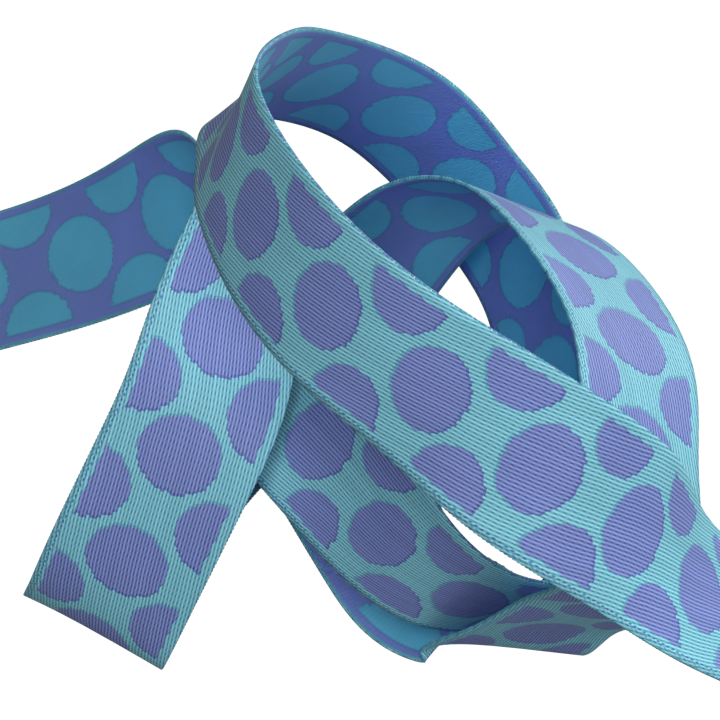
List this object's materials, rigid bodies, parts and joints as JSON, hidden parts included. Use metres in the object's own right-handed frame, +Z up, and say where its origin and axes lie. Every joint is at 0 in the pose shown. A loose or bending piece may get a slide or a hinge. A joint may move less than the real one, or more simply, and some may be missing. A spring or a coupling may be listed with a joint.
{
  "type": "looped length of jacquard ribbon",
  "caption": "Cut length of narrow two-colour woven ribbon lying in loose rising loops, with staggered ovals on its face and reversed colours on its back.",
  "frame": {"origin": "middle of the ribbon's bounding box, on the plane it rests on", "axes": "+Z up, +X from the cut end that lies flat towards the cut end that hangs from the tall arch, +Y away from the viewer"},
  "size_m": [0.1455, 0.0993, 0.0976],
  "materials": {
    "woven_ribbon": "satin weave"
  },
  "bodies": {
    "root": {"ribbon": "woven_ribbon"}
  },
  "joints": []
}
